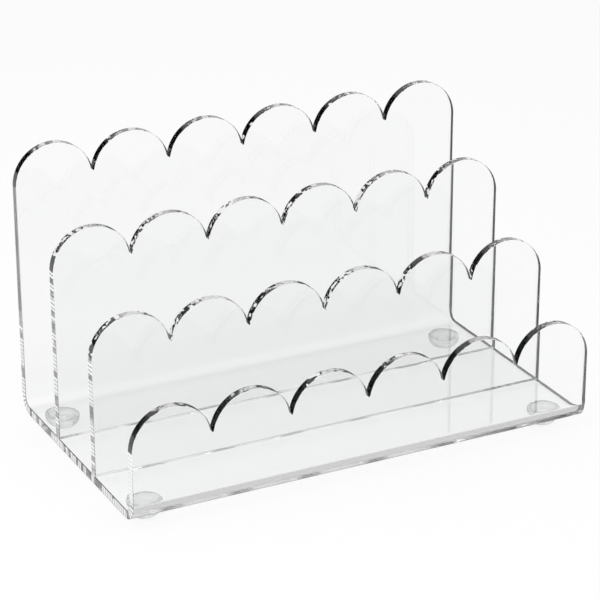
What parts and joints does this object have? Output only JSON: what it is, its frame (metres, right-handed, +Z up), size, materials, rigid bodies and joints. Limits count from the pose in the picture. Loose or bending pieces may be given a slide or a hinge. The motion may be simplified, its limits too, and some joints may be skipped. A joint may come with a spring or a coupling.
{
  "type": "desktop file holder",
  "caption": "Desktop file holder: a clear sheet bent up at front and back with upright dividers between, scalloped top edges that step up to the back, and domed feet.",
  "frame": {"origin": "on the table, under the middle of the holder's width and depth", "axes": "+X along the panels to the right as seen from the front, +Y from the low front panel to the tall back panel, +Z up"},
  "size_m": [0.2286, 0.1304, 0.1363],
  "materials": {
    "clear_acrylic": "polished",
    "clear_foot": "gloss",
    "adhesive_film": "gloss"
  },
  "bodies": {
    "root": {"bent_sheet": "clear_acrylic", "front_divider": "clear_acrylic", "rear_divider": "clear_acrylic", "foot_front_left": "clear_foot", "foot_adhesive_front_left": "adhesive_film", "foot_front_right": "clear_foot", "foot_adhesive_front_right": "adhesive_film", "foot_back_left": "clear_foot", "foot_adhesive_back_left": "adhesive_film", "foot_back_right": "clear_foot", "foot_adhesive_back_right": "adhesive_film"}
  },
  "joints": []
}
